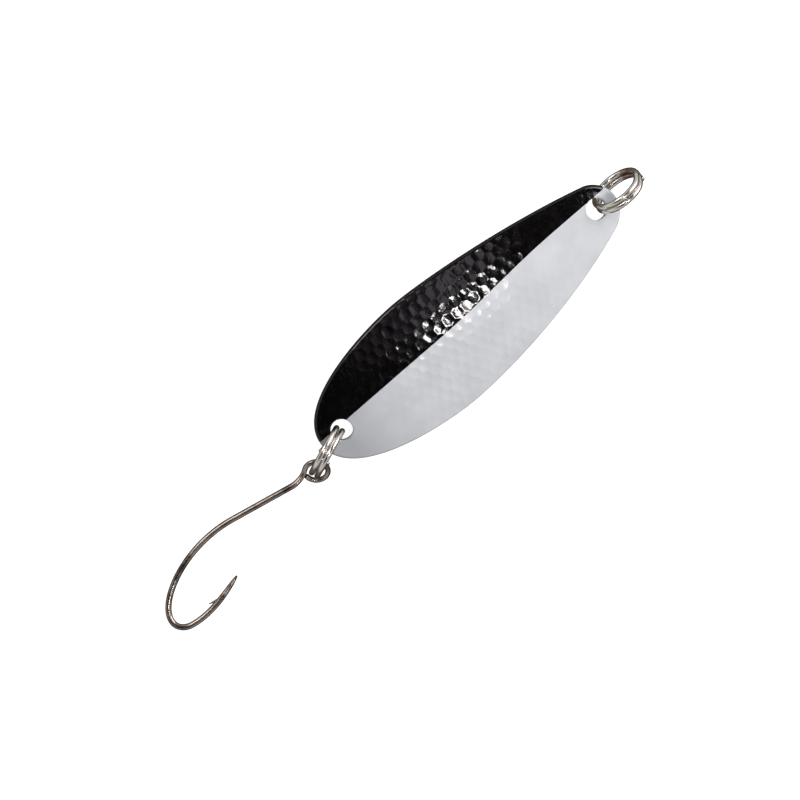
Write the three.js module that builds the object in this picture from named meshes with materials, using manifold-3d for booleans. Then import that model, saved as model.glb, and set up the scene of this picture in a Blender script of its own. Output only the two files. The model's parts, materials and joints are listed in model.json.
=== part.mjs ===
// A spoon lure: an arched metal blade, a split ring through each end, and a single hook on the tail ring.
// Millimetres. +X runs from the tail to the head, +Y to the blade's raised long edge, +Z up from the surface
// that the lure lies on, convex side up. The origin is at the bottom centre of the whole lure's box.
import * as THREE from "three";
import { mergeVertices } from "three/addons/utils/BufferGeometryUtils.js";
import Module from "manifold-3d";

const wasm = await Module();
wasm.setup();

// Blade. Stations along it are counted from the centre of the tail hole.
const HOLE_SPACING = 44.65;
const HOLE_RADIUS = 1.48;
const HOLE_SIDE = 0.3; // the holes lie this far to +Y of the blade's middle line
const BLADE_THICKNESS = 0.8;
const TAIL_END = -3.46;
const HEAD_END = 47.84;
const WIDEST_STATION = 16.14;
const HALF_WIDTH = 8.74;
const TAIL_FULLNESS = 6.8;
const TAIL_FLANK = 5.8;
const HEAD_FLANK = 4;
const SHOULDER = new THREE.Vector2(45.2, 3.67);
const SHOULDER_SLOPE = 0.33;
const SHOULDER_FLANK = 12.9;
const NOSE_FLANK = 1.1;
const NOSE_FULLNESS = 2;
const ARCH_HEIGHT = 3;
const CROSS_RADIUS = 22;
const TOP_EDGE_INSET = 0.15; // the rim is rounded: the middle of its wall stands furthest out
const BOTTOM_EDGE_INSET = 0.25;
const END_TRIM = 0.005; // share of the outline left off at each tip, so that the tips have a width
const STATIONS = 46;
const LANES = 10;

// How the blade lies: propped on both rings, and rolled until its -Y edge meets the surface below.
const BLADE_ROLL = THREE.MathUtils.degToRad(17);
const HOLE_HEIGHT = 3.25;

// Split rings: two coils of round wire side by side, with one ramp between them beside the two cut ends.
const RING_RADIUS = 3.4; // to the middle of the wire
const RING_WIRE = 0.4; // radius
const COIL_PITCH = 0.84;
const RAMP_ANGLE = THREE.MathUtils.degToRad(70);
const END_SHORT = THREE.MathUtils.degToRad(6); // each cut end stops this far before the middle of the ramp
const RING_STEPS = 88;
const WIRE_SIDES = 8;
const HEAD_RING_REACH = 3.84;
const HEAD_RING_SIDE = -0.1; // sideways in the hole, along Y
const HEAD_RING_LEAN = THREE.MathUtils.degToRad(26); // from upright, its top towards -Y
const HEAD_RING_HEIGHT = 3.63;
const HEAD_RING_RAMP = THREE.MathUtils.degToRad(18);
const TAIL_RING_REACH = 3.68;
const TAIL_RING_SIDE = 0.25;
const TAIL_RING_YAW = THREE.MathUtils.degToRad(20); // from -X towards -Y
const TAIL_RING_HEIGHT = 3.82;
const TAIL_RING_RAMP = THREE.MathUtils.degToRad(-75);

// Hook, in its own plane: "out" runs down the shank from the eye, and "across" runs towards the point.
const HOOK_WIRE = 0.43; // radius
const EYE_WIRE = 0.37; // radius
const EYE_RADIUS = 1.56; // to the middle of the wire
const EYE_DROP = THREE.MathUtils.degToRad(20); // how far below the tail ring's far side the eye hangs
const EYE_SLACK = 0.25; // from the middle of the ring's wire to the eye's centre, towards the blade
const EYE_TILT = THREE.MathUtils.degToRad(33);
const EYE_NOD = THREE.MathUtils.degToRad(14.5);
const EYE_START = THREE.MathUtils.degToRad(-42);
const EYE_END = THREE.MathUtils.degToRad(-363);
const SHANK_OFFSET = 0.2;
const SHANK_START = 3.9;
const SHANK_END = 13;
const BEND_OUT = 26.8;
const BEND_ACROSS = 8;
const THROAT_OUT = 24.6;
const THROAT_ACROSS = 9.9;
const TIP = new THREE.Vector2(16.1, 7.03);
const POINT_LENGTH = 5.3;
const POINT_RADIUS = 0.05;
const BARB_TIP = new THREE.Vector2(21.3, 8.55);
const BARB_ROOT = new THREE.Vector2(19.7, 8.78);
const BARB_RADIUS = 0.2;
const HOOK_YAW = THREE.MathUtils.degToRad(11.8); // from -X towards +Y
const HOOK_REST_HEIGHT = 0.5; // the middle of the wire at the bend
const HOOK_STEPS = 108;

function solidOf(geometry) {
  const bare = new THREE.BufferGeometry();
  bare.setAttribute("position", geometry.getAttribute("position"));
  if (geometry.index) bare.setIndex(geometry.index);
  const merged = mergeVertices(bare, 1e-4);
  return new wasm.Manifold(new wasm.Mesh({
    numProp: 3,
    vertProperties: merged.getAttribute("position").array,
    triVerts: new Uint32Array(merged.index.array),
  }));
}

function geometryOf(solid) {
  const mesh = solid.getMesh();
  const geometry = new THREE.BufferGeometry();
  geometry.setAttribute("position", new THREE.BufferAttribute(mesh.vertProperties, 3));
  geometry.setIndex(new THREE.BufferAttribute(mesh.triVerts, 1));
  geometry.computeVertexNormals();
  return geometry;
}

function circle(radius, sides) {
  const shape = new THREE.Shape();
  for (let i = 0; i < sides; i++) {
    const angle = (i / sides) * Math.PI * 2;
    const x = radius * Math.cos(angle);
    const y = radius * Math.sin(angle);
    if (i === 0) shape.moveTo(x, y);
    else shape.lineTo(x, y);
  }
  shape.closePath();
  return shape;
}

function smooth(share) {
  const s = THREE.MathUtils.clamp(share, 0, 1);
  return s * s * (3 - 2 * s);
}

// The blade's half outline from the tail tip to the head tip: x is the station and y the half-width there.
function bladeOutline() {
  const slope = new THREE.Vector2(1, -SHOULDER_SLOPE).normalize();
  const beforeShoulder = SHOULDER.clone().addScaledVector(slope, -SHOULDER_FLANK);
  const afterShoulder = SHOULDER.clone().addScaledVector(slope, NOSE_FLANK);
  const widest = new THREE.Vector2(WIDEST_STATION, HALF_WIDTH);
  const outline = new THREE.CurvePath();
  outline.add(new THREE.CubicBezierCurve(
    new THREE.Vector2(TAIL_END, 0),
    new THREE.Vector2(TAIL_END, TAIL_FULLNESS),
    new THREE.Vector2(WIDEST_STATION - TAIL_FLANK, HALF_WIDTH),
    widest,
  ));
  outline.add(new THREE.CubicBezierCurve(
    widest,
    new THREE.Vector2(WIDEST_STATION + HEAD_FLANK, HALF_WIDTH),
    beforeShoulder,
    SHOULDER,
  ));
  outline.add(new THREE.CubicBezierCurve(
    SHOULDER,
    afterShoulder,
    new THREE.Vector2(HEAD_END, NOSE_FULLNESS),
    new THREE.Vector2(HEAD_END, 0),
  ));
  return outline;
}

// Height of the blade's convex face, and its slope along the blade.
const ARCH_MIDDLE = (TAIL_END + HEAD_END) / 2;
const ARCH_HALF_LENGTH = (HEAD_END - TAIL_END) / 2;

function faceHeight(station, across) {
  const along = (station - ARCH_MIDDLE) / ARCH_HALF_LENGTH;
  return ARCH_HEIGHT * (1 - along * along) - (across * across) / (2 * CROSS_RADIUS);
}

function faceSlope(station) {
  return (-2 * ARCH_HEIGHT * (station - ARCH_MIDDLE)) / (ARCH_HALF_LENGTH * ARCH_HALF_LENGTH);
}

// The shell is a box of STATIONS by LANES cells, bent to the outline and the arch.
function bladeShell() {
  const outline = bladeOutline();
  const geometry = new THREE.BoxGeometry(2, 2, 2, STATIONS, LANES, 2);
  const position = geometry.getAttribute("position");
  for (let i = 0; i < position.count; i++) {
    const share = END_TRIM + ((1 - 2 * END_TRIM) * (position.getX(i) + 1)) / 2;
    const edge = outline.getPoint(share);
    const level = position.getZ(i);
    const inset = level > 0 ? TOP_EDGE_INSET * level : -BOTTOM_EDGE_INSET * level;
    const across = Math.max(edge.y - inset, edge.y / 2) * position.getY(i);
    const below = (BLADE_THICKNESS * (1 - level)) / 2;
    position.setXYZ(i, edge.x, across, faceHeight(edge.x, across) - below);
  }
  return solidOf(geometry);
}

function holeCutter(station) {
  const cutter = new THREE.CylinderGeometry(HOLE_RADIUS, HOLE_RADIUS, 5 * BLADE_THICKNESS, 32);
  cutter.rotateX(Math.PI / 2);
  cutter.rotateY(-Math.atan(faceSlope(station)));
  cutter.translate(station, HOLE_SIDE, faceHeight(station, HOLE_SIDE) - BLADE_THICKNESS / 2);
  return solidOf(cutter);
}

function spoonBlade() {
  const drilled = bladeShell().subtract(holeCutter(0)).subtract(holeCutter(HOLE_SPACING));
  return geometryOf(drilled);
}

// The wire climbs one pitch at each passage of the ramp, and is level for the rest of the turn.
class SplitRingCurve extends THREE.Curve {
  constructor(rampAngle) {
    super();
    this.rampAngle = rampAngle;
  }

  getPoint(t, target = new THREE.Vector3()) {
    const turned = END_SHORT + t * (4 * Math.PI - 2 * END_SHORT);
    const turn = Math.round(turned / (2 * Math.PI));
    const fromRamp = turned - turn * 2 * Math.PI;
    const climbed = turn - 1 + smooth(fromRamp / RAMP_ANGLE + 0.5) - 0.5;
    const angle = this.rampAngle + turned;
    return target.set(RING_RADIUS * Math.cos(angle), RING_RADIUS * Math.sin(angle), COIL_PITCH * climbed);
  }
}

function splitRing(rampAngle) {
  return new THREE.ExtrudeGeometry(circle(RING_WIRE, WIRE_SIDES), {
    steps: RING_STEPS,
    extrudePath: new SplitRingCurve(rampAngle),
    bevelEnabled: false,
  });
}

// The hook's wire from the loop's cut end, round the eye, down the shank and round the bend to the tip.
function hookPath() {
  const tilt = new THREE.Matrix4().makeRotationX(-EYE_TILT);
  const nod = new THREE.Matrix4().makeRotationY(EYE_NOD);
  const eyeTurn = nod.multiply(tilt);
  const points = [];
  const loopSteps = 14;
  for (let i = 0; i <= loopSteps; i++) {
    const angle = THREE.MathUtils.lerp(EYE_END, EYE_START, i / loopSteps);
    const onLoop = new THREE.Vector3(Math.cos(angle), Math.sin(angle), 0).multiplyScalar(EYE_RADIUS);
    points.push(onLoop.applyMatrix4(eyeTurn));
  }
  const loop = new THREE.CatmullRomCurve3(points, false, "centripetal");
  const loopEnd = points.at(-1);
  const loopDirection = points.at(-1).clone().sub(points.at(-2)).normalize();
  const flat = (out, across) => new THREE.Vector3(out, across, 0);
  const path = new THREE.CurvePath();
  path.add(loop);
  path.add(new THREE.CubicBezierCurve3(
    loopEnd,
    loopEnd.clone().addScaledVector(loopDirection, 0.7),
    flat(SHANK_START - 1.1, SHANK_OFFSET),
    flat(SHANK_START, SHANK_OFFSET),
  ));
  path.add(new THREE.LineCurve3(flat(SHANK_START, SHANK_OFFSET), flat(SHANK_END, SHANK_OFFSET)));
  path.add(new THREE.CubicBezierCurve3(
    flat(SHANK_END, SHANK_OFFSET),
    flat(SHANK_END + 7.4, SHANK_OFFSET),
    flat(BEND_OUT, BEND_ACROSS - 3.1),
    flat(BEND_OUT, BEND_ACROSS),
  ));
  path.add(new THREE.CubicBezierCurve3(
    flat(BEND_OUT, BEND_ACROSS),
    flat(BEND_OUT, BEND_ACROSS + 1.2),
    flat(THROAT_OUT + 1.2, THROAT_ACROSS),
    flat(THROAT_OUT, THROAT_ACROSS),
  ));
  path.add(new THREE.CubicBezierCurve3(
    flat(THROAT_OUT, THROAT_ACROSS),
    flat(THROAT_OUT - 3, THROAT_ACROSS),
    flat(TIP.x + 2.6, TIP.y + 1.4),
    flat(TIP.x, TIP.y),
  ));
  return path;
}

// Radius of the wire at a place on the path: thinner at the eye, and tapering over the point.
function hookRadius(fromEyeEnd, toTip) {
  const loopLength = EYE_RADIUS * Math.abs(EYE_END - EYE_START);
  const shank = smooth((fromEyeEnd - loopLength) / 3);
  const wire = THREE.MathUtils.lerp(EYE_WIRE, HOOK_WIRE, shank);
  const point = THREE.MathUtils.clamp(toTip / POINT_LENGTH, 0, 1);
  return THREE.MathUtils.lerp(POINT_RADIUS, wire, Math.sqrt(point) * (1.5 - 0.5 * point));
}

function hookWire() {
  const path = hookPath();
  const geometry = new THREE.ExtrudeGeometry(circle(HOOK_WIRE, WIRE_SIDES), {
    steps: HOOK_STEPS,
    extrudePath: path,
    bevelEnabled: false,
  });
  const centres = path.getSpacedPoints(HOOK_STEPS);
  const step = path.getLength() / HOOK_STEPS;
  const position = geometry.getAttribute("position");
  const vertex = new THREE.Vector3();
  for (let i = 0; i < position.count; i++) {
    vertex.fromBufferAttribute(position, i);
    let nearest = 0;
    centres.forEach((centre, k) => {
      if (centre.distanceTo(vertex) < centres[nearest].distanceTo(vertex)) nearest = k;
    });
    const radius = hookRadius(nearest * step, (HOOK_STEPS - nearest) * step);
    vertex.sub(centres[nearest]).multiplyScalar(radius / HOOK_WIRE).add(centres[nearest]);
    position.setXYZ(i, vertex.x, vertex.y, vertex.z);
  }
  return solidOf(geometry);
}

function barb() {
  const length = BARB_TIP.distanceTo(BARB_ROOT);
  const cone = new THREE.ConeGeometry(BARB_RADIUS, length, 8);
  const middle = BARB_TIP.clone().add(BARB_ROOT).multiplyScalar(0.5);
  const heading = Math.atan2(BARB_TIP.y - BARB_ROOT.y, BARB_TIP.x - BARB_ROOT.x);
  cone.rotateZ(heading - Math.PI / 2);
  cone.translate(middle.x, middle.y, 0);
  return solidOf(cone);
}

function singleHook() {
  return geometryOf(hookWire().add(barb()));
}

function material(colour, roughness, metalness) {
  return new THREE.MeshStandardMaterial({ color: new THREE.Color(...colour), roughness, metalness });
}

function part(name, geometry, itsMaterial) {
  const mesh = new THREE.Mesh(geometry, itsMaterial);
  mesh.name = name;
  return mesh;
}

const whitePaint = material([0.8, 0.82, 0.85], 0.2, 0);
const nickel = material([0.55, 0.53, 0.49], 0.25, 1);
const blackNickel = material([0.16, 0.13, 0.12], 0.3, 1);

// The blade turns about its tail hole, and the rings and hook take their places from its holes.
const blade = part("spoon_blade", spoonBlade(), whitePaint);
const bladeSeat = new THREE.Group();
bladeSeat.rotation.x = BLADE_ROLL;
bladeSeat.position.z = HOLE_HEIGHT;
blade.position.y = -HOLE_SIDE;
blade.position.z = BLADE_THICKNESS / 2 - faceHeight(0, HOLE_SIDE);
bladeSeat.add(blade);
bladeSeat.updateMatrixWorld(true);
const holeMiddle = faceHeight(HOLE_SPACING, HOLE_SIDE) - BLADE_THICKNESS / 2;
const headHole = blade.localToWorld(new THREE.Vector3(HOLE_SPACING, HOLE_SIDE, holeMiddle));

const headRing = part("front_split_ring", splitRing(HEAD_RING_RAMP), nickel);
headRing.position.set(headHole.x + HEAD_RING_REACH, headHole.y + HEAD_RING_SIDE, HEAD_RING_HEIGHT);
headRing.rotation.x = Math.PI / 2 + HEAD_RING_LEAN;

const tailRing = part("rear_split_ring", splitRing(TAIL_RING_RAMP), nickel);
const tailRingOut = new THREE.Vector3(-Math.cos(TAIL_RING_YAW), -Math.sin(TAIL_RING_YAW), 0);
const up = new THREE.Vector3(0, 0, 1);
tailRing.quaternion.setFromRotationMatrix(new THREE.Matrix4().makeBasis(
  tailRingOut,
  up,
  new THREE.Vector3().crossVectors(tailRingOut, up),
));
tailRing.position.copy(tailRingOut).multiplyScalar(TAIL_RING_REACH).setZ(TAIL_RING_HEIGHT);
tailRing.position.y += TAIL_RING_SIDE;

const hook = part("single_hook", singleHook(), blackNickel);
hook.position.copy(tailRing.position);
hook.position.addScaledVector(tailRingOut, RING_RADIUS * Math.cos(EYE_DROP) - EYE_SLACK);
hook.position.z -= RING_RADIUS * Math.sin(EYE_DROP);
const shankDrop = Math.asin((hook.position.z - HOOK_REST_HEIGHT) / BEND_OUT);
const shankOut = new THREE.Vector3(-Math.cos(HOOK_YAW), Math.sin(HOOK_YAW), -Math.tan(shankDrop)).normalize();
const acrossHook = new THREE.Vector3().crossVectors(up, shankOut).normalize();
hook.quaternion.setFromRotationMatrix(new THREE.Matrix4().makeBasis(
  shankOut,
  acrossHook,
  new THREE.Vector3().crossVectors(shankOut, acrossHook),
));

const lying = new THREE.Group();
lying.add(bladeSeat, headRing, tailRing, hook);
lying.updateMatrixWorld(true);
const bounds = new THREE.Box3().setFromObject(lying, true);
lying.position.set(
  -(bounds.min.x + bounds.max.x) / 2,
  -(bounds.min.y + bounds.max.y) / 2,
  -bounds.min.z,
);

const lure = new THREE.Group();
lure.add(lying);

export default lure;
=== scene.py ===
"""Looks of the spoon lure: a hammered nickel blade with a black and a white paint coat, two split rings
and a barbed single hook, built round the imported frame. Lengths are in metres."""

import json
import math

import bmesh
import bpy
import numpy as np
from mathutils import Matrix, Vector
from mathutils.geometry import delaunay_2d_cdt


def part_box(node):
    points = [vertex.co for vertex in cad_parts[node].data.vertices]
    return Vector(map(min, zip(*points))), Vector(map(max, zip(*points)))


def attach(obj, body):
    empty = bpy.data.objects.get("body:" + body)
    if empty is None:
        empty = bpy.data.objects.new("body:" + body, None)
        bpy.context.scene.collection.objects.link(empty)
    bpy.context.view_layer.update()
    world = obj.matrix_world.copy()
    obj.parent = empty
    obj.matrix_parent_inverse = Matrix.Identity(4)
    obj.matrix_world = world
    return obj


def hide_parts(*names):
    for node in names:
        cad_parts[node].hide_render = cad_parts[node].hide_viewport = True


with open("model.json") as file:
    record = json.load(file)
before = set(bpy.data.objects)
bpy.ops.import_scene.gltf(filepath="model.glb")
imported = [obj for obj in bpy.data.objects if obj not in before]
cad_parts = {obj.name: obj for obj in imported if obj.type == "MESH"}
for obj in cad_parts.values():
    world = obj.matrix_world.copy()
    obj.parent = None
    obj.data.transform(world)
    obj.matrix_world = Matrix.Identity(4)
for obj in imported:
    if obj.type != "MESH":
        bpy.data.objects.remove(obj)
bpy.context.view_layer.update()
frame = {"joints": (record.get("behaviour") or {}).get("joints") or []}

MM = 0.001
joints = {joint["name"]: joint for joint in frame["joints"]}

# ---- places, from the frame ----

tail_hole = Vector(joints["rear_ring_swing"]["pos_m"])
head_hole = Vector(joints["front_ring_swing"]["pos_m"])
head_normal = Vector(joints["front_ring_swing"]["axis"])
hook_hinge = Vector(joints["hook_swing"]["pos_m"])
BLADE_ROLL = math.atan2(-head_normal.y, head_normal.z)
HOLE_SPACING = head_hole.x - tail_hole.x

# ---- blade sizes: stations run from the tail hole to the head, and "across" towards the black side ----

HOLE_RADIUS = 1.48 * MM
HOLE_SIDE = 0.3 * MM  # the holes lie this far to the black side of the middle line
THICKNESS = 0.8 * MM
TAIL_END = -3.46 * MM
HEAD_END = 47.84 * MM
WIDEST_STATION = 16.14 * MM
HALF_WIDTH = 8.74 * MM
TAIL_FULLNESS = 6.8 * MM
TAIL_FLANK = 5.8 * MM
HEAD_FLANK = 4 * MM
SHOULDER = np.array([45.2, 3.67]) * MM
SHOULDER_SLOPE = 0.33
SHOULDER_FLANK = 12.9 * MM
NOSE_FLANK = 1.1 * MM
NOSE_FULLNESS = 2 * MM
ARCH_HEIGHT = 3 * MM
CROSS_RADIUS = 22 * MM
ARCH_MIDDLE = (TAIL_END + HEAD_END) / 2
ARCH_HALF_LENGTH = (HEAD_END - TAIL_END) / 2

RIM_TOP_RADIUS = 0.3 * MM
RIM_BOTTOM_RADIUS = 0.2 * MM
HOLE_RIM_RADIUS = 0.16 * MM
ROUND_ROWS = 5
COAT = 0.06 * MM  # thickness of the paint
BEAD_HEIGHT = 0.035 * MM  # paint drawn up into a low bead along every rim
BEAD_WIDTH = 0.22 * MM

DIMPLE_PITCH = 1.56 * MM  # along the blade
DIMPLE_ROW = 1.32 * MM
FIRST_DIMPLE = (1.3 * MM, 0.1 * MM)
DIMPLE_DEPTH = 0.056 * MM
DIMPLE_WANDER = 0.2 * MM
DIMPLE_UNEVENNESS = 0.4  # how much a dent's depth may differ, as a share
DIMPLE_DEEPEST = 1.2  # limit of a bowl's depth, as a share
WANDER_GRID = (64, 32)
SEED = 7
RIDGE_SOFTNESS = 0.09 * MM * MM
TAIL_FADE = (1 * MM, 15 * MM)  # stations between which the dents deepen from none to full
HEAD_FADE = (27 * MM, 42 * MM)  # and between which they fade again

SPLIT_AT_TAIL = 0.53 * MM  # from the line through the holes to the paint line, seen from above
SPLIT_AT_HEAD = 1.36 * MM
SPLIT_TURN = (18 * MM, 38 * MM)  # stations between which it moves over

UNDERSIDE_SHARE = 0.35  # how much of each dent shows through on the concave side
PAINTED_RIM_ROWS = 8  # of the wall's rows of points; the rest of the wall is bare
PAINTED_HOLE_ROWS = 5
METAL_GAP = 0.002 * MM

FINE = 0.16 * MM  # spacing of the painted side's points
COARSE = 0.4 * MM
LATTICE_CLEARANCE = 0.6  # from the rims and the paint line, as a share of the spacing
MERGE_DISTANCE = 1e-6
OUTLINE_POINTS = 760
OUTLINE_DETAIL = 4  # points worked out for each one kept
TAIL_POINTS = 600
BODY_POINTS = 800
NOSE_POINTS = 300
HOLE_POINTS = 80
HALVINGS = 40
SETTLING_STEPS = 6
CHUNK = 2000  # rows of a large table worked on at a time
BLADE_SHARP = math.radians(45)

# ---- wire sizes ----

RING_RADIUS = 3.4 * MM
RING_WIRE = 0.4 * MM
COIL_PITCH = 0.84 * MM
RAMP_ANGLE = math.radians(70)
END_SHORT = math.radians(6)
RING_STEPS = 420
WIRE_SIDES = 28
WIRE_BEVEL = 0.2  # as a share of the wire's radius
WIRE_SHARP = math.radians(60)
ANY_DIRECTION = (0.3, 0.2, 0.93)  # only has to differ from how each wire starts
HEAD_RING_LEAN = math.radians(26)
HEAD_RING_RAMP = math.radians(18)
TAIL_RING_YAW = math.radians(20)
TAIL_RING_RAMP = math.radians(-75)

HOOK_WIRE = 0.43 * MM
EYE_WIRE = 0.37 * MM
EYE_RADIUS = 1.56 * MM
EYE_SLACK = 0.25 * MM
EYE_TILT = math.radians(33)
EYE_NOD = math.radians(14.5)
EYE_START = math.radians(-42)
EYE_END = math.radians(-363)
EYE_TAPER = 3 * MM
NECK_HANDLE = 0.7 * MM
NECK_LENGTH = 1.1 * MM
SHANK_OFFSET = 0.2 * MM
SHANK_START = 3.9 * MM
SHANK_END = 13 * MM
SHANK_HANDLE = 7.4 * MM
BEND_OUT = 26.8 * MM
BEND_ACROSS = 8 * MM
BEND_HANDLE = 3.1 * MM
ROUND_HANDLE = 1.2 * MM
THROAT_OUT = 24.6 * MM
THROAT_ACROSS = 9.9 * MM
THROAT_HANDLE = 3 * MM
TIP = np.array([16.1, 7.03]) * MM
TIP_HANDLE = np.array([2.6, 1.4, 0]) * MM
POINT_LENGTH = 5.3 * MM
POINT_RADIUS = 0.05 * MM
BARB_TIP = np.array([21.3, 8.55]) * MM
BARB_MIDDLE = np.array([20.5, 8.62]) * MM
BARB_ROOT = np.array([19.5, 8.8]) * MM
BARB_RADIUS = 0.32 * MM
BARB_TIP_RADIUS = 0.05 * MM
BARB_STEPS = 16
BARB_SIDES = 20
HOOK_YAW = math.radians(11.8)
HOOK_REST_HEIGHT = 0.504 * MM
HOOK_STEPS = 520
EYE_POINTS = 120
NECK_POINTS = 60
SHANK_POINTS = 60
CURVE_POINTS = 160
BEND_POINTS = 80
POINT_POINTS = 120

# ---- colours and surface patterns ----

WHITE_SHADES = (0.57, 0.585, 0.61), (0.62, 0.635, 0.655)
PAINTED_TAIL_SHADE = (-3 * MM, 10 * MM)  # stations between which painted shade on the paint fades out, from darkened at the tail to the paint's own colour
# how far the painted shade darkens the paint at the tail end, as a share of its darker shade
PAINTED_TAIL_SHADE_SHARE = 0.7
BLACK_SHADES = (0.0012, 0.0008, 0.001), (0.0025, 0.002, 0.0022)
NICKEL = (0.74, 0.7, 0.65)
NICKEL_DARK = (0.62, 0.58, 0.53)
TARNISH = (0.27, 0.12, 0.07)
# each stain is a distance along the wire, a half-length and a strength
HEAD_RING_STAINS = (17.7 * MM, 1.1 * MM, 0.9), (39 * MM, 1.1 * MM, 0.9)
TAIL_RING_STAINS = (4.1 * MM, 2 * MM, 0.45), (25.5 * MM, 2 * MM, 0.45)
BLACK_NICKEL = (0.1, 0.08, 0.068)
BLACK_NICKEL_WORN = (0.34, 0.29, 0.255)
PLATE = (0.74, 0.72, 0.69)
PLATE_DARK = (0.62, 0.6, 0.56)
BLACK_ROUGHNESS = (0.07, 0.15)
BLACK_PEEL = 0.02 * MM
WHITE_ROUGHNESS = (0.42, 0.5)
WHITE_PEEL = 0.006 * MM
PAINT_PATCH = 4 * MM
GLOSS_PATCH = 1.1 * MM
PEEL_SIZE = 0.55 * MM
SPECK_SIZE = 0.16 * MM
SPECK_HEIGHT = 0.012 * MM
DRAWN_LINE = 0.08 * MM  # width of the lines that drawing leaves on wire
DRAWN_STRETCH = 0.04  # shrinks lengths along the wire, so the lines are 25 times as long as wide
RING_LINE_DEPTH = 0.001 * MM
RING_ROUGHNESS = (0.2, 0.3)
RING_PATCH = 0.9 * MM
STAIN_MOTTLE = 0.3 * MM
HOOK_LINE_DEPTH = 0.002 * MM
HOOK_ROUGHNESS = (0.17, 0.26)
HOOK_PATCH = 3 * MM
BRUSH_LINE = 0.08 * MM
BRUSH_STRETCH = 0.03
BRUSH_DEPTH = 0.006 * MM
BRUSH_ROUGHNESS = (0.2, 0.4)
PLATE_PATCH = 5 * MM

# ---- camera, floor and lights ----

VIEW_WIDTH = 106.4 * MM
VIEW_CENTRE_FROM_TAIL_HOLE = (8.38 * MM, -2.16 * MM)
VIEW_TURN = math.radians(-40.9)
CAMERA_LENS = 180
CAMERA_RANGE = 10
LIGHT_DISTANCE = 0.8
FLOOR_SIZE = 6
FLOOR_DROP = 0.1 * MM
FLOOR_COLOUR = (0.5, 0.5, 0.5)
FLOOR_ROUGHNESS = 0.9
FLOOR_GLOW = 0.9
SKY = (  # height of the direction, from -1 below to 1 overhead, and its colour
    (-1, (0.05, 0.04, 0.035)),
    (-0.1, (0.16, 0.14, 0.125)),
    (0.02, (0.8, 0.8, 0.8)),
    (0.35, (0.75, 0.75, 0.76)),
    (0.62, (0.5, 0.5, 0.51)),
    (0.76, (0.05, 0.05, 0.052)),
    (0.955, (0.02, 0.02, 0.022)),
    (0.988, (0.2, 0.185, 0.21)),
    (1, (0.4, 0.37, 0.42)),
)
LIGHTS = (  # name, tilts from overhead towards +X and +Y in degrees, width, height, radiance, colour
    ("key_strip", (3, -20), 0.07, 0.17, 42, (1, 0.97, 0.96)),
    ("top_panel", (5, -1), 0.22, 0.14, 0.9, (1, 0.93, 1)),
    ("back_box", (-14, 44), 0.22, 0.3, 6, (1, 0.95, 0.91)),
    ("side_window", (56, -15), 0.45, 0.6, 5.3, (0.97, 0.98, 1)),
)

# ---- curves ----

rng = np.random.default_rng(SEED)
WANDER = rng.uniform(-1, 1, (*WANDER_GRID, 3))  # of each dent: along, across and in depth


def smooth(share):
    s = np.clip(share, 0, 1)
    return s * s * (3 - 2 * s)


def bezier(a, b, c, d, count):
    t = np.linspace(0, 1, count)[:, None]
    a, b, c, d = (np.asarray(p, float) for p in (a, b, c, d))
    return a * (1 - t) ** 3 + 3 * b * t * (1 - t) ** 2 + 3 * c * t * t * (1 - t) + d * t ** 3


def spaced(path, count, closed=False):
    """Points at even distances along a path."""
    if closed:
        path = np.vstack([path, path[:1]])
    reached = np.concatenate([[0], np.cumsum(np.linalg.norm(np.diff(path, axis=0), axis=1))])
    wanted = np.linspace(0, reached[-1], count, endpoint=not closed)
    return np.stack([np.interp(wanted, reached, path[:, k]) for k in range(path.shape[1])], 1)


def half_outline():
    """The blade's outline on the black side, from the tail tip to the head tip."""
    slope = np.array([1, -SHOULDER_SLOPE]) / math.hypot(1, SHOULDER_SLOPE)
    widest = (WIDEST_STATION, HALF_WIDTH)
    before = (WIDEST_STATION - TAIL_FLANK, HALF_WIDTH)
    after = (WIDEST_STATION + HEAD_FLANK, HALF_WIDTH)
    tail = bezier((TAIL_END, 0), (TAIL_END, TAIL_FULLNESS), before, widest, TAIL_POINTS)
    body = bezier(widest, after, SHOULDER - SHOULDER_FLANK * slope, SHOULDER, BODY_POINTS)
    nose_handle = (HEAD_END, NOSE_FULLNESS)
    nose = bezier(SHOULDER, SHOULDER + NOSE_FLANK * slope, nose_handle, (HEAD_END, 0), NOSE_POINTS)
    return np.vstack([tail, body[1:], nose[1:]])


def face_height(station, across):
    along = (station - ARCH_MIDDLE) / ARCH_HALF_LENGTH
    return ARCH_HEIGHT * (1 - along ** 2) - across ** 2 / (2 * CROSS_RADIUS)


def face_slope(station):
    return -2 * ARCH_HEIGHT * (station - ARCH_MIDDLE) / ARCH_HALF_LENGTH ** 2


# the tail joint's height in the blade's own frame
HOLE_LEVEL = float(face_height(0, HOLE_SIDE)) - THICKNESS / 2


def split_across(station):
    """Where the paint line runs at a station. Seen from above, on the rolled blade, it is nearly straight."""
    moved = smooth((station - SPLIT_TURN[0]) / (SPLIT_TURN[1] - SPLIT_TURN[0]))
    above = SPLIT_AT_TAIL + (SPLIT_AT_HEAD - SPLIT_AT_TAIL) * moved
    across = above
    for _ in range(SETTLING_STEPS):
        rise = face_height(station, across) - HOLE_LEVEL
        across = HOLE_SIDE + (above + rise * math.sin(BLADE_ROLL)) / math.cos(BLADE_ROLL)
    return across


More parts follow.
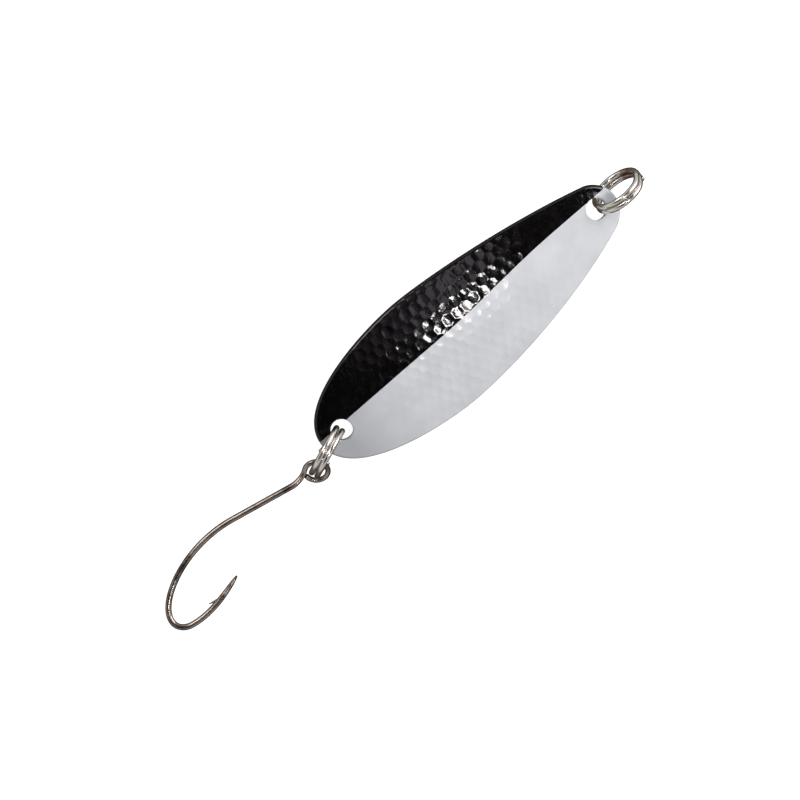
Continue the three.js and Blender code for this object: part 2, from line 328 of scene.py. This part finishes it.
def dimples(station, across):
    """Depth of the hammered dents: staggered shallow bowls that meet in soft ridges."""
    along, side = station - FIRST_DIMPLE[0], across - FIRST_DIMPLE[1]
    row = np.round(side / DIMPLE_ROW).astype(int)
    near = []
    depths = []
    for row_step in (-1, 0, 1):
        j = row + row_step
        shift = 0.5 * (j % 2)
        column = np.round(along / DIMPLE_PITCH - shift).astype(int)
        for column_step in (-1, 0, 1):
            i = column + column_step
            wander = WANDER[i % WANDER.shape[0], j % WANDER.shape[1]]
            x = (i + shift) * DIMPLE_PITCH + wander[..., 0] * DIMPLE_WANDER
            y = j * DIMPLE_ROW + wander[..., 1] * DIMPLE_WANDER
            near.append((along - x) ** 2 + (side - y) ** 2)
            depths.append(wander[..., 2])
    near = np.array(near)
    weights = np.exp(-(near - near.min(0)) / RIDGE_SOFTNESS)
    total = weights.sum(0)
    bowl = near.min(0) - RIDGE_SOFTNESS * np.log(total)
    reach = (DIMPLE_PITCH / math.sqrt(3)) ** 2
    own_depth = 1 + DIMPLE_UNEVENNESS * (weights * np.array(depths)).sum(0) / total
    fade = smooth((station - TAIL_FADE[0]) / (TAIL_FADE[1] - TAIL_FADE[0]))
    fade = fade * (1 - smooth((station - HEAD_FADE[0]) / (HEAD_FADE[1] - HEAD_FADE[0])))
    return DIMPLE_DEPTH * fade * own_depth * np.clip(1 - bowl / reach, 0, DIMPLE_DEEPEST)


class Loop:
    """A closed rim of the blade. curve(places, inset) gives points in plan, moved into the metal by the
    inset."""

    def __init__(self, places, period, curve, wall, top_round, bottom_round, painted_rows):
        self.places = places
        self.period = period
        self.curve = curve
        self.wall = wall
        self.top_round = top_round
        self.bottom_round = bottom_round
        self.painted_rows = painted_rows
        self.on_line = []

    def meet_line(self):
        """Moves the point nearest to each crossing of the paint line onto that line."""
        def above(place):
            point = self.curve(np.array([place]), self.top_round)[0]
            return point[1] - split_across(point[0])

        following = np.append(self.places[1:], self.places[0] + self.period)
        sides = [above(place) for place in self.places]
        for k, (low, high) in enumerate(zip(self.places, following)):
            if sides[k] * sides[(k + 1) % len(sides)] >= 0:
                continue
            first, last = low, high
            for _ in range(HALVINGS):
                middle = (first + last) / 2
                if above(middle) * above(first) > 0:
                    first = middle
                else:
                    last = middle
            moved = k if first - low < high - first else (k + 1) % len(sides)
            self.places[moved] = first % self.period
            self.on_line.append(moved)

    def rows(self):
        """(inset, drop) of each row of points, from the top face over the rounded wall to the bottom face."""
        turn = np.linspace(0, math.pi / 2, ROUND_ROWS + 1)

        def rounding(radius):
            return [(radius * (1 - math.sin(a)), radius * (1 - math.cos(a))) for a in turn]

        low = reversed(rounding(self.bottom_round))
        return rounding(self.top_round) + [(inset, THICKNESS - drop) for inset, drop in low]


def outline_loop():
    half = half_outline()
    path = spaced(np.vstack([half, half[-2:0:-1] * (1, -1)]), OUTLINE_DETAIL * OUTLINE_POINTS, closed=True)
    tangent = np.roll(path, -1, 0) - np.roll(path, 1, 0)
    inwards = np.stack([tangent[:, 1], -tangent[:, 0]], 1)
    inwards /= np.linalg.norm(inwards, axis=1)[:, None]
    count = len(path)

    def curve(places, inset):
        points = path + inset * inwards
        ends = np.vstack([points, points[:1]])
        return np.stack([np.interp(places % count, np.arange(count + 1), ends[:, k]) for k in (0, 1)], 1)

    places = np.arange(OUTLINE_POINTS) * (count / OUTLINE_POINTS)
    down = np.array([0, 0, -1.0])
    return Loop(places, count, curve, down, RIM_TOP_RADIUS, RIM_BOTTOM_RADIUS, PAINTED_RIM_ROWS)


def hole_loop(station):
    lean = math.atan(float(face_slope(station)))
    normal = np.array([-math.sin(lean), 0, math.cos(lean)])
    centre = station + normal[0] * THICKNESS / 2

    def curve(places, inset):
        radius = HOLE_RADIUS + inset
        along = centre + radius * math.cos(lean) * np.cos(places)
        return np.stack([along, HOLE_SIDE + radius * np.sin(places)], 1)

    places = np.linspace(0, 2 * math.pi, HOLE_POINTS, endpoint=False)
    return Loop(places, 2 * math.pi, curve, -normal, HOLE_RIM_RADIUS, HOLE_RIM_RADIUS, PAINTED_HOLE_ROWS)


def inside(points, polygon):
    """Which points lie inside a closed polygon."""
    x0, y0 = polygon[:, 0], polygon[:, 1]
    x1, y1 = np.roll(x0, -1), np.roll(y0, -1)
    rise = np.where(y1 == y0, 1, y1 - y0)
    found = np.zeros(len(points), bool)
    for start in range(0, len(points), CHUNK):
        x, y = (points[start:start + CHUNK, k][:, None] for k in (0, 1))
        crosses = (y0 > y) != (y1 > y)
        reach = (x1 - x0) * (y - y0) / rise + x0
        found[start:start + CHUNK] = (crosses & (x < reach)).sum(1) % 2 == 1
    return found


def distance_to(points, others):
    """How far each point is from the nearest of the others."""
    nearest = np.empty(len(points))
    for start in range(0, len(points), CHUNK):
        part = points[start:start + CHUNK]
        nearest[start:start + CHUNK] = np.sqrt(((part[:, None] - others) ** 2).sum(2)).min(1)
    return nearest


def paint_line(loops, spacing):
    """Points along the paint line between the rims, and the edges that join them to the rims' points."""
    first = np.cumsum([0] + [len(loop.places) for loop in loops])
    ends = []
    for start, loop in zip(first, loops):
        rim = loop.curve(loop.places, loop.top_round)
        ends += [(rim[k][0], start + k) for k in loop.on_line]
    ends.sort()
    points = []
    edges = []
    for (station, index), (next_station, next_index) in zip(ends[::2], ends[1::2]):
        steps = max(2, round((next_station - station) / spacing))
        stations = np.linspace(station, next_station, steps + 1)[1:-1]
        new = first[-1] + len(points)
        indices = [index, *range(new, new + len(stations)), next_index]
        edges += list(zip(indices[:-1], indices[1:]))
        points += list(zip(stations, split_across(stations)))
    return np.array(points), edges


def plan_mesh(rims, spacing, line=None, line_edges=()):
    """Triangles over the blade in plan, inside the first rim and outside the others."""
    edges = list(line_edges)
    start = 0
    for rim in rims:
        edges += [(start + k, start + (k + 1) % len(rim)) for k in range(len(rim))]
        start += len(rim)
    fixed = np.vstack(rims if line is None else [*rims, line])
    rows = np.arange(-HALF_WIDTH, HALF_WIDTH, spacing * math.sqrt(0.75))
    columns = np.arange(TAIL_END, HEAD_END, spacing)
    lattice = np.array([(x + spacing / 2 * (j % 2), y) for j, y in enumerate(rows) for x in columns])

    def on_blade(points):
        return inside(points, rims[0]) & ~inside(points, rims[1]) & ~inside(points, rims[2])

    lattice = lattice[on_blade(lattice)]
    lattice = lattice[distance_to(lattice, fixed) > LATTICE_CLEARANCE * spacing]
    points = np.vstack([fixed, lattice])
    made = delaunay_2d_cdt([Vector(p) for p in points / MM], edges, [], 0, MERGE_DISTANCE)
    if len(made[0]) != len(points):
        raise RuntimeError(f"the triangulation changed the points: {len(points)} became {len(made[0])}")
    source = [given[0] for given in made[3]]
    triangles = np.array([[source[v] for v in face] for face in made[2]])
    return points, triangles[on_blade(points[triangles].mean(1))]


def beads(loops, points):
    """Height of the paint's raised bead along the rims."""
    height = np.zeros(len(points))
    for loop in loops:
        away = distance_to(points, loop.curve(loop.places, 0)) - loop.top_round
        height = np.maximum(height, BEAD_HEIGHT * np.exp(-(away / BEAD_WIDTH) ** 2))
    return height


def to_world(points):
    """From the blade's own frame to the row frame."""
    turn = np.array(Matrix.Rotation(BLADE_ROLL, 3, "X"))
    return (points - (0, HOLE_SIDE, HOLE_LEVEL)) @ turn.T + np.array(tail_hole)


def blade_surface():
    """The painted blade's whole outside: vertices, faces, each face's coat ("black", "white" or "bare"), and
    how far the metal lies under the paint at each vertex."""
    loops = [outline_loop(), hole_loop(0), hole_loop(HOLE_SPACING)]
    for loop in loops:
        loop.meet_line()
    rims = [loop.curve(loop.places, loop.top_round) for loop in loops]
    line, line_edges = paint_line(loops, FINE)
    plan, triangles = plan_mesh(rims, FINE, line, line_edges)
    low_rims = [loop.curve(loop.places, loop.bottom_round) for loop in loops]
    low_plan, low_triangles = plan_mesh(low_rims, COARSE)

    dents = dimples(plan[:, 0], plan[:, 1])
    raised = beads(loops, plan)
    top = np.column_stack([plan, face_height(plan[:, 0], plan[:, 1]) - dents + raised])
    low_dents = UNDERSIDE_SHARE * dimples(low_plan[:, 0], low_plan[:, 1])
    low_height = face_height(low_plan[:, 0], low_plan[:, 1]) - THICKNESS - low_dents
    low = np.column_stack([low_plan, low_height])

    vertices = [top]
    count = len(top)
    cover = [np.full(count, COAT)]
    middles = plan[triangles].mean(1)
    faces = [tuple(t) for t in triangles]
    coats = list(np.where(middles[:, 1] > split_across(middles[:, 0]), "black", "white"))
    start = 0
    low_first = 0
    seams = []
    for loop, rim in zip(loops, rims):
        size = len(rim)
        sides = (rim + np.roll(rim, -1, 0)) / 2
        side_coats = np.where(sides[:, 1] > split_across(sides[:, 0]), "black", "white")
        above = np.arange(start, start + size)
        shape = (raised - dents)[start:start + size]
        rows = loop.rows()
        for r, (inset, drop) in enumerate(rows[1:], 1):
            if r < len(rows) - 1:
                place = loop.curve(loop.places, inset)
                kept = max(0, 1 - r / ROUND_ROWS)
                height = face_height(place[:, 0], place[:, 1]) + kept * shape
                vertices.append(np.column_stack([place, height]) + drop * loop.wall)
                bare_share = smooth((r - loop.painted_rows) / (len(rows) - 1 - loop.painted_rows))
                cover.append(np.full(size, COAT * (1 - bare_share)))
                below = np.arange(count, count + size)
                count += size
            else:
                below = None
            seams.append((above, below, side_coats if r <= loop.painted_rows else None, low_first))
            above = below
        start += size
        low_first += size
    low_start = count
    vertices.append(low)
    cover.append(np.zeros(len(low)))
    faces += [tuple(low_start + v for v in t) for t in low_triangles]
    coats += ["bare"] * len(low_triangles)
    for above, below, side_coats, first in seams:
        if below is None:
            below = np.arange(low_start + first, low_start + first + len(above))
        after = np.roll(above, -1), np.roll(below, -1)
        faces += list(zip(above, after[0], after[1], below))
        coats += ["bare"] * len(above) if side_coats is None else list(side_coats)
    return to_world(np.vstack(vertices)), faces, np.array(coats), np.concatenate(cover)


def mesh_object(name, vertices, faces, sharp_angle=BLADE_SHARP):
    """A smooth-shaded piece with its faces turned outwards, and sharp edges kept sharp."""
    mesh = bpy.data.meshes.new(name)
    mesh.from_pydata(np.asarray(vertices).tolist(), [], [tuple(int(v) for v in face) for face in faces])
    turned = bmesh.new()
    turned.from_mesh(mesh)
    bmesh.ops.recalc_face_normals(turned, faces=turned.faces)
    turned.to_mesh(mesh)
    turned.free()
    mesh.shade_smooth()
    mesh.set_sharp_from_angle(angle=sharp_angle)
    piece = bpy.data.objects.new(name, mesh)
    bpy.context.scene.collection.objects.link(piece)
    return piece


def normals_of(piece):
    found = np.zeros(3 * len(piece.data.vertices))
    piece.data.vertex_normals.foreach_get("vector", found)
    return found.reshape(-1, 3)


def coat_shell(vertices, normals, faces):
    """A closed coat of paint whose outside is the given faces. Its walls stand on the edges that only one of
    those faces has."""
    used = sorted({v for face in faces for v in face})
    place = {v: k for k, v in enumerate(used)}
    outer = [tuple(place[v] for v in face) for face in faces]
    count = len(used)
    once = {}
    for face in outer:
        for a, b in zip(face, face[1:] + face[:1]):
            if (b, a) in once:
                del once[b, a]
            else:
                once[a, b] = True
    walls = [(b, a, a + count, b + count) for a, b in once]
    inner = [tuple(v + count for v in reversed(face)) for face in outer]
    points = np.vstack([vertices[used], vertices[used] - COAT * normals[used]])
    return points, outer + inner + walls


def build_blade():
    vertices, faces, coats, cover = blade_surface()
    whole = mesh_object("blade_metal", vertices, faces)
    turned = [tuple(polygon.vertices) for polygon in whole.data.polygons]
    normals = normals_of(whole)
    whole.data.vertices.foreach_set("co", (vertices - (cover + METAL_GAP)[:, None] * normals).ravel())
    whole.data.update()
    pieces = {"metal": whole}
    for coat in ("black", "white"):
        own = [face for face, its in zip(turned, coats) if its == coat]
        pieces[coat] = mesh_object(f"{coat}_paint_coat", *coat_shell(vertices, normals, own))
    return pieces


# ---- wire ----


def frames_along(path):
    """Tangents and two cross directions along a path, without twist."""
    tangents = np.gradient(path, axis=0)
    tangents /= np.linalg.norm(tangents, axis=1)[:, None]
    side = np.cross(tangents[0], ANY_DIRECTION)
    sides = []
    for tangent in tangents:
        side = side - tangent * (side @ tangent)
        side = side / np.linalg.norm(side)
        sides.append(side)
    sides = np.array(sides)
    return tangents, sides, np.cross(tangents, sides)


def wire_mesh(name, path, radii, sides, matrix):
    """Round wire along a path, with bevelled cut ends."""
    tangents, across, up = frames_along(path)
    bevel = WIRE_BEVEL * radii[[0, -1]]
    centres = np.vstack([path[0] - bevel[0] * tangents[0], path, path[-1] + bevel[1] * tangents[-1]])
    rims = np.concatenate([[radii[0] - bevel[0]], radii, [radii[-1] - bevel[1]]])
    across = np.vstack([across[:1], across, across[-1:]])
    up = np.vstack([up[:1], up, up[-1:]])
    angle = np.linspace(0, 2 * math.pi, sides, endpoint=False)
    ring = np.cos(angle)[None, :, None] * across[:, None] + np.sin(angle)[None, :, None] * up[:, None]
    points = (centres[:, None] + rims[:, None, None] * ring).reshape(-1, 3)
    points = np.vstack([points, centres[0], centres[-1]])
    rows = len(centres)
    faces = []
    last = (rows - 1) * sides
    for row in range(0, last, sides):
        for k in range(sides):
            after = (k + 1) % sides
            faces.append((row + k, row + after, row + sides + after, row + sides + k))
    for k in range(sides):
        after = (k + 1) % sides
        faces.append((after, k, last + sides))
        faces.append((last + k, last + after, last + sides + 1))
    world = points @ np.array(matrix.to_3x3()).T + np.array(matrix.translation)
    return mesh_object(name, world, faces, WIRE_SHARP)


def mark_wire(piece, path, matrix):
    """Stores where each point lies on the wire as if it were pulled straight: across, up and along."""
    tangents, across, up = frames_along(path)
    reached = np.concatenate([[0], np.cumsum(np.linalg.norm(np.diff(path, axis=0), axis=1))])
    points = np.array([v.co for v in piece.data.vertices])
    turn = np.array(matrix.to_3x3())
    points = (points - np.array(matrix.translation)) @ turn
    straight = np.empty_like(points)
    for start in range(0, len(points), CHUNK):
        part = points[start:start + CHUNK]
        nearest = ((part[:, None] - path) ** 2).sum(2).argmin(1)
        offset = part - path[nearest]
        straight[start:start + CHUNK, 0] = (offset * across[nearest]).sum(1)
        straight[start:start + CHUNK, 1] = (offset * up[nearest]).sum(1)
        straight[start:start + CHUNK, 2] = reached[nearest] + (offset * tangents[nearest]).sum(1)
    attribute = piece.data.attributes.new("straight_wire", "FLOAT_VECTOR", "POINT")
    attribute.data.foreach_set("vector", straight.ravel())


def split_ring_path(ramp_angle):
    """Nearly two turns of wire about Z. It steps up from one coil to the next over a short ramp."""
    turned = np.linspace(END_SHORT, 4 * math.pi - END_SHORT, RING_STEPS)
    turn = np.round(turned / (2 * math.pi))
    climbed = turn - 1.5 + smooth((turned - turn * 2 * math.pi) / RAMP_ANGLE + 0.5)
    angle = ramp_angle + turned
    x, y = RING_RADIUS * np.cos(angle), RING_RADIUS * np.sin(angle)
    return np.column_stack([x, y, COIL_PITCH * climbed])


def box_centre(node):
    low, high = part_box(node)
    return (low + high) / 2


def build_rings():
    head_turn = Matrix.Rotation(math.pi / 2 + HEAD_RING_LEAN, 4, "X")
    out = Vector((-math.cos(TAIL_RING_YAW), -math.sin(TAIL_RING_YAW), 0))
    up = Vector((0, 0, 1))
    tail_turn = Matrix((out, up, out.cross(up))).transposed().to_4x4()
    rings = {}
    for node, turn, ramp in (
        ("front_split_ring", head_turn, HEAD_RING_RAMP),
        ("rear_split_ring", tail_turn, TAIL_RING_RAMP),
    ):
        path = split_ring_path(ramp)
        place = Matrix.Translation(box_centre(node)) @ turn
        ring = wire_mesh(f"{node}_wire", path, np.full(len(path), RING_WIRE), WIRE_SIDES, place)
        mark_wire(ring, path, place)
        rings[node] = ring
    return rings


def hook_path():
    """The hook's wire in its own plane: out from the eye along the shank, and across towards the point.
    Only the eye and the neck that closes it leave the plane."""
    turn = np.array(Matrix.Rotation(EYE_NOD, 3, "Y") @ Matrix.Rotation(-EYE_TILT, 3, "X"))
    angle = np.linspace(EYE_END, EYE_START, EYE_POINTS)
    loop = EYE_RADIUS * np.column_stack([np.cos(angle), np.sin(angle), np.zeros(len(angle))]) @ turn.T
    heading = (loop[-1] - loop[-2]) / np.linalg.norm(loop[-1] - loop[-2])

    def flat(out, across):
        return np.array([out, across, 0.0])

    neck_end = flat(SHANK_START, SHANK_OFFSET)
    shank_end = flat(SHANK_END, SHANK_OFFSET)
    bend = flat(BEND_OUT, BEND_ACROSS)
    throat = flat(THROAT_OUT, THROAT_ACROSS)
    tip = flat(*TIP)
    stretches = [loop]
    for start, first_handle, second_handle, end, count in (
        (loop[-1], NECK_HANDLE * heading, flat(-NECK_LENGTH, 0), neck_end, NECK_POINTS),
        (neck_end, flat(0, 0), flat(0, 0), shank_end, SHANK_POINTS),
        (shank_end, flat(SHANK_HANDLE, 0), flat(0, -BEND_HANDLE), bend, CURVE_POINTS),
        (bend, flat(0, ROUND_HANDLE), flat(ROUND_HANDLE, 0), throat, BEND_POINTS),
        (throat, flat(-THROAT_HANDLE, 0), TIP_HANDLE, tip, POINT_POINTS),
    ):
        stretches.append(bezier(start, start + first_handle, end + second_handle, end, count)[1:])
    return spaced(np.vstack(stretches), HOOK_STEPS)


def hook_radii(path):
    """The wire's radius along the hook: thinner round the eye, and tapered to the point."""
    reached = np.concatenate([[0], np.cumsum(np.linalg.norm(np.diff(path, axis=0), axis=1))])
    loop_length = EYE_RADIUS * abs(EYE_END - EYE_START)
    wire = EYE_WIRE + (HOOK_WIRE - EYE_WIRE) * smooth((reached - loop_length) / EYE_TAPER)
    point = np.clip((reached[-1] - reached) / POINT_LENGTH, 0, 1)
    return POINT_RADIUS + (wire - POINT_RADIUS) * np.sqrt(point) * (1.5 - 0.5 * point)


def build_hook():
    path = hook_path()
    out = Vector((-math.cos(TAIL_RING_YAW), -math.sin(TAIL_RING_YAW), 0))
    eye = hook_hinge - EYE_SLACK * out
    drop = math.asin((eye.z - HOOK_REST_HEIGHT) / BEND_OUT)
    along = Vector((-math.cos(HOOK_YAW), math.sin(HOOK_YAW), -math.tan(drop))).normalized()
    across = Vector((0, 0, 1)).cross(along).normalized()
    turn = Matrix((along, across, along.cross(across))).transposed().to_4x4()
    place = Matrix.Translation(eye) @ turn
    hook = wire_mesh("hook_wire", path, hook_radii(path), WIRE_SIDES, place)
    root, middle, tip = (np.array([*p, 0.0]) for p in (BARB_ROOT, BARB_MIDDLE, BARB_TIP))
    barb_path = bezier(root, middle, middle, tip, BARB_STEPS)
    barb_radii = np.linspace(BARB_RADIUS, BARB_TIP_RADIUS, BARB_STEPS)
    barb = wire_mesh("barb", barb_path, barb_radii, BARB_SIDES, place)
    union = hook.modifiers.new("barb", "BOOLEAN")
    union.operation = "UNION"
    union.solver = "EXACT"
    union.object = barb
    joined = bpy.data.meshes.new_from_object(hook.evaluated_get(bpy.context.evaluated_depsgraph_get()))
    hook.modifiers.clear()
    hook.data = joined
    bpy.data.objects.remove(barb)
    mark_wire(hook, path, place)
    return hook


# ---- materials ----


class Look:
    """A Principled material and the nodes that vary it."""

    def __init__(self, name, **values):
        self.material = bpy.data.materials.new(name)
        self.material.use_nodes = True
        tree = self.material.node_tree
        self.nodes = tree.nodes
        self.links = tree.links
        self.shader = self.nodes["Principled BSDF"]
        for socket, value in values.items():
            self.shader.inputs[socket.replace("_", " ")].default_value = value

    def node(self, kind, **inputs):
        made = self.nodes.new(f"ShaderNode{kind}")
        for socket, value in inputs.items():
            self.feed(made.inputs[socket], value)
        return made

    def feed(self, socket, value):
        if isinstance(value, bpy.types.NodeSocket):
            self.links.new(value, socket)
        else:
            socket.default_value = value

    def object_place(self):
        return self.node("TexCoord").outputs["Object"]

    def wire_place(self, stretch):
        """Place on the straightened wire, with lengths along it scaled so that a pattern is drawn out."""
        attribute = self.node("Attribute")
        attribute.attribute_name = "straight_wire"
        mapping = self.node("Mapping", Vector=attribute.outputs["Vector"])
        mapping.inputs["Scale"].default_value = (1, 1, stretch)
        return mapping.outputs["Vector"]

    def noise(self, place, size, detail=2.0, roughness=0.5):
        """Noise from 0 to 1 whose features are about the given size across."""
        made = self.node("TexNoise", Vector=place, Scale=1 / size, Detail=detail, Roughness=roughness)
        return made.outputs["Fac"]

    def ramp(self, value, low, high, out_low=0.0, out_high=1.0):
        """Turns a value that runs from low to high into a smooth step between two others."""
        made = self.node("MapRange", Value=value)
        made.inputs["From Min"].default_value = low
        made.inputs["From Max"].default_value = high
        made.inputs["To Min"].default_value = out_low
        made.inputs["To Max"].default_value = out_high
        made.interpolation_type = "SMOOTHSTEP"
        return made.outputs["Result"]

    def mix(self, share, low, high):
        made = self.nodes.new("ShaderNodeMix")
        made.data_type = "RGBA"
        self.feed(made.inputs["Factor"], share)
        for socket, colour in (("A", low), ("B", high)):
            found = next(s for s in made.inputs if s.name == socket and s.type == "RGBA")
            self.feed(found, colour if isinstance(colour, bpy.types.NodeSocket) else (*colour, 1))
        return next(s for s in made.outputs if s.type == "RGBA")

    def math(self, operation, first, second=0.0):
        made = self.nodes.new("ShaderNodeMath")
        made.operation = operation
        self.feed(made.inputs[0], first)
        self.feed(made.inputs[1], second)
        return made.outputs["Value"]

    def bump(self, height, distance, normal=None):
        made = self.node("Bump", Height=height, Distance=distance, Strength=1)
        if normal is not None:
            self.links.new(normal, made.inputs["Normal"])
        return made.outputs["Normal"]

    def set(self, socket, value):
        self.feed(self.shader.inputs[socket], value)


def paint_look(name, shades, roughness, peel, **values):
    """Thick gloss paint: slightly uneven colour and gloss, a faint orange peel, and a few specks of dust.
    Towards the tail its colour is darkened with painted shade."""
    look = Look(name, Metallic=0.0, IOR=1.5, **values)
    place = look.object_place()
    patches = look.noise(place, PAINT_PATCH, detail=3)
    unshaded = look.mix(look.ramp(patches, 0.35, 0.65), *shades)
    station = look.node("SeparateXYZ", Vector=place).outputs["X"]
    # painted shade: the paint's colour is darkened towards the tail end to stand in for the shade there
    tail_shade = look.ramp(station, tail_hole.x + PAINTED_TAIL_SHADE[0], tail_hole.x + PAINTED_TAIL_SHADE[1], 1, 0)
    look.set("Base Color", look.mix(tail_shade, unshaded, tuple(PAINTED_TAIL_SHADE_SHARE * part for part in shades[0])))
    look.set("Roughness", look.ramp(look.noise(place, GLOSS_PATCH, detail=4), 0.3, 0.7, *roughness))
    waves = look.bump(look.noise(place, PEEL_SIZE, detail=1), peel)
    specks = look.ramp(look.noise(place, SPECK_SIZE, detail=0), 0.78, 0.84)
    look.set("Normal", look.bump(specks, SPECK_HEIGHT, normal=waves))
    return look.material


def ring_look(name, stains):
    """Polished nickel wire with drawing lines, dull patches, and brown tarnish where it is stained."""
    look = Look(name, Metallic=1.0)
    lines = look.noise(look.wire_place(DRAWN_STRETCH), DRAWN_LINE, detail=3)
    patches = look.noise(look.object_place(), RING_PATCH, detail=4, roughness=0.65)
    mottle = look.noise(look.object_place(), STAIN_MOTTLE, detail=3, roughness=0.6)
    reached = look.node("SeparateXYZ", Vector=look.wire_place(1)).outputs["Z"]
    colour = look.mix(look.ramp(lines, 0.3, 0.7), NICKEL_DARK, NICKEL)
    colour = look.mix(look.ramp(patches, 0.62, 0.78, 0, 0.5), colour, TARNISH)
    for distance, half_length, strength in stains:
        away = look.math("ABSOLUTE", look.math("SUBTRACT", reached, distance))
        near = look.ramp(away, 0.6 * half_length, half_length, strength, 0)
        stained = look.math("MULTIPLY", near, look.ramp(mottle, 0.3, 0.7, 0.6, 1))
        colour = look.mix(stained, colour, TARNISH)
    look.set("Base Color", colour)
    look.set("Roughness", look.ramp(patches, 0.35, 0.75, *RING_ROUGHNESS))
    look.set("Normal", look.bump(lines, RING_LINE_DEPTH))
    return look.material


def hook_look():
    """Black nickel over drawn steel wire."""
    look = Look("hook_black_nickel", Metallic=1.0)
    lines = look.noise(look.wire_place(DRAWN_STRETCH), DRAWN_LINE, detail=3)
    patches = look.noise(look.object_place(), HOOK_PATCH, detail=3)
    look.set("Base Color", look.mix(look.ramp(patches, 0.35, 0.65), BLACK_NICKEL, BLACK_NICKEL_WORN))
    look.set("Roughness", look.ramp(patches, 0.35, 0.7, *HOOK_ROUGHNESS))
    look.set("Normal", look.bump(lines, HOOK_LINE_DEPTH))
    return look.material


def bare_blade_look():
    """Nickel plate with fine lengthways brushing and faint blotches."""
    look = Look("blade_nickel", Metallic=1.0)
    place = look.object_place()
    mapping = look.node("Mapping", Vector=place)
    mapping.inputs["Scale"].default_value = (BRUSH_STRETCH, 1, 1)
    brushing = look.noise(mapping.outputs["Vector"], BRUSH_LINE, detail=4)
    patches = look.noise(place, PLATE_PATCH, detail=5)
    look.set("Base Color", look.mix(look.ramp(patches, 0.3, 0.7), PLATE_DARK, PLATE))
    look.set("Roughness", look.ramp(brushing, 0.25, 0.75, *BRUSH_ROUGHNESS))
    look.set("Normal", look.bump(brushing, BRUSH_DEPTH))
    return look.material


# ---- stage ----


def area_light(name, toward, width, height, radiance, colour):
    """A rectangular softbox, in the direction given by its tilts from overhead."""
    tilt_x, tilt_y = (math.tan(math.radians(angle)) for angle in toward)
    direction = Vector((tilt_x, tilt_y, 1)).normalized()
    data = bpy.data.lights.new(name, "AREA")
    data.shape = "RECTANGLE"
    data.size = width
    data.size_y = height
    data.energy = radiance * math.pi * width * height
    data.color = colour
    light = bpy.data.objects.new(name, data)
    light.location = direction * LIGHT_DISTANCE
    light.rotation_euler = direction.to_track_quat("Z", "Y").to_euler()
    bpy.context.scene.collection.objects.link(light)


def build_world():
    """A pale horizon, a dark sky with a soft glow overhead, and dim brown below. The floor hides it from the
    camera, so it only shows in how it lights the lure and is mirrored in it."""
    world = bpy.data.worlds.new("studio")
    world.use_nodes = True
    nodes, links = world.node_tree.nodes, world.node_tree.links
    direction = nodes.new("ShaderNodeSeparateXYZ")
    links.new(nodes.new("ShaderNodeTexCoord").outputs["Generated"], direction.inputs["Vector"])
    ramp = nodes.new("ShaderNodeValToRGB")
    height = nodes.new("ShaderNodeMapRange")
    height.inputs["From Min"].default_value = -1
    links.new(direction.outputs["Z"], height.inputs["Value"])
    links.new(height.outputs["Result"], ramp.inputs["Fac"])
    elements = ramp.color_ramp.elements
    while len(elements) < len(SKY):
        elements.new(0.5)
    for element, (level, colour) in zip(elements, SKY):
        element.position = (level + 1) / 2
        element.color = (*colour, 1)
    links.new(ramp.outputs["Color"], nodes["Background"].inputs["Color"])
    bpy.context.scene.world = world


def build_floor():
    mesh = bpy.data.meshes.new("floor")
    half = FLOOR_SIZE / 2
    corners = [(-half, -half, 0), (half, -half, 0), (half, half, 0), (-half, half, 0)]
    mesh.from_pydata(corners, [], [(0, 1, 2, 3)])
    floor = bpy.data.objects.new("floor", mesh)
    floor.location.z = -FLOOR_DROP
    bpy.context.scene.collection.objects.link(floor)
    look = Look("pale_floor", Roughness=FLOOR_ROUGHNESS, Emission_Strength=FLOOR_GLOW)
    look.shader.inputs["Base Color"].default_value = (*FLOOR_COLOUR, 1)
    look.shader.inputs["Emission Color"].default_value = (1, 1, 1, 1)
    mesh.materials.append(look.material)
    floor.visible_glossy = False
    floor.visible_diffuse = False


def build_camera():
    data = bpy.data.cameras.new("camera")
    data.lens = CAMERA_LENS
    data.clip_end = CAMERA_RANGE
    camera = bpy.data.objects.new("camera", data)
    distance = VIEW_WIDTH * data.lens / data.sensor_width
    camera.location = tail_hole + Vector((*VIEW_CENTRE_FROM_TAIL_HOLE, distance))
    camera.rotation_euler = (0, 0, VIEW_TURN)
    bpy.context.scene.collection.objects.link(camera)
    bpy.context.scene.camera = camera


# ---- the object ----

blade = build_blade()
rings = build_rings()
hook = build_hook()

nickel_plate = bare_blade_look()
black_gloss = paint_look("black_gloss", BLACK_SHADES, BLACK_ROUGHNESS, BLACK_PEEL)
clear_coat = {"Coat_Weight": 0.4, "Coat_Roughness": 0.17}
white_gloss = paint_look("white_gloss", WHITE_SHADES, WHITE_ROUGHNESS, WHITE_PEEL, **clear_coat)
front_nickel = ring_look("front_ring_nickel", HEAD_RING_STAINS)
rear_nickel = ring_look("rear_ring_nickel", TAIL_RING_STAINS)
black_nickel = hook_look()

for piece, body, slot, material in (
    (blade["metal"], "blade", "blade_metal", nickel_plate),
    (blade["black"], "blade", "black_paint", black_gloss),
    (blade["white"], "blade", "white_paint", white_gloss),
    (rings["front_split_ring"], "front_ring", "ring_metal", front_nickel),
    (rings["rear_split_ring"], "rear_ring", "ring_metal", rear_nickel),
    (hook, "hook", "hook_metal", black_nickel),
):
    piece.data.materials.append(material)
    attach(piece, body)

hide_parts("spoon_blade")
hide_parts("front_split_ring")
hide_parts("rear_split_ring")
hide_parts("single_hook")

build_floor()
build_world()
build_camera()
for light in LIGHTS:
    area_light(*light)
bpy.context.scene.view_settings.view_transform = "Standard"
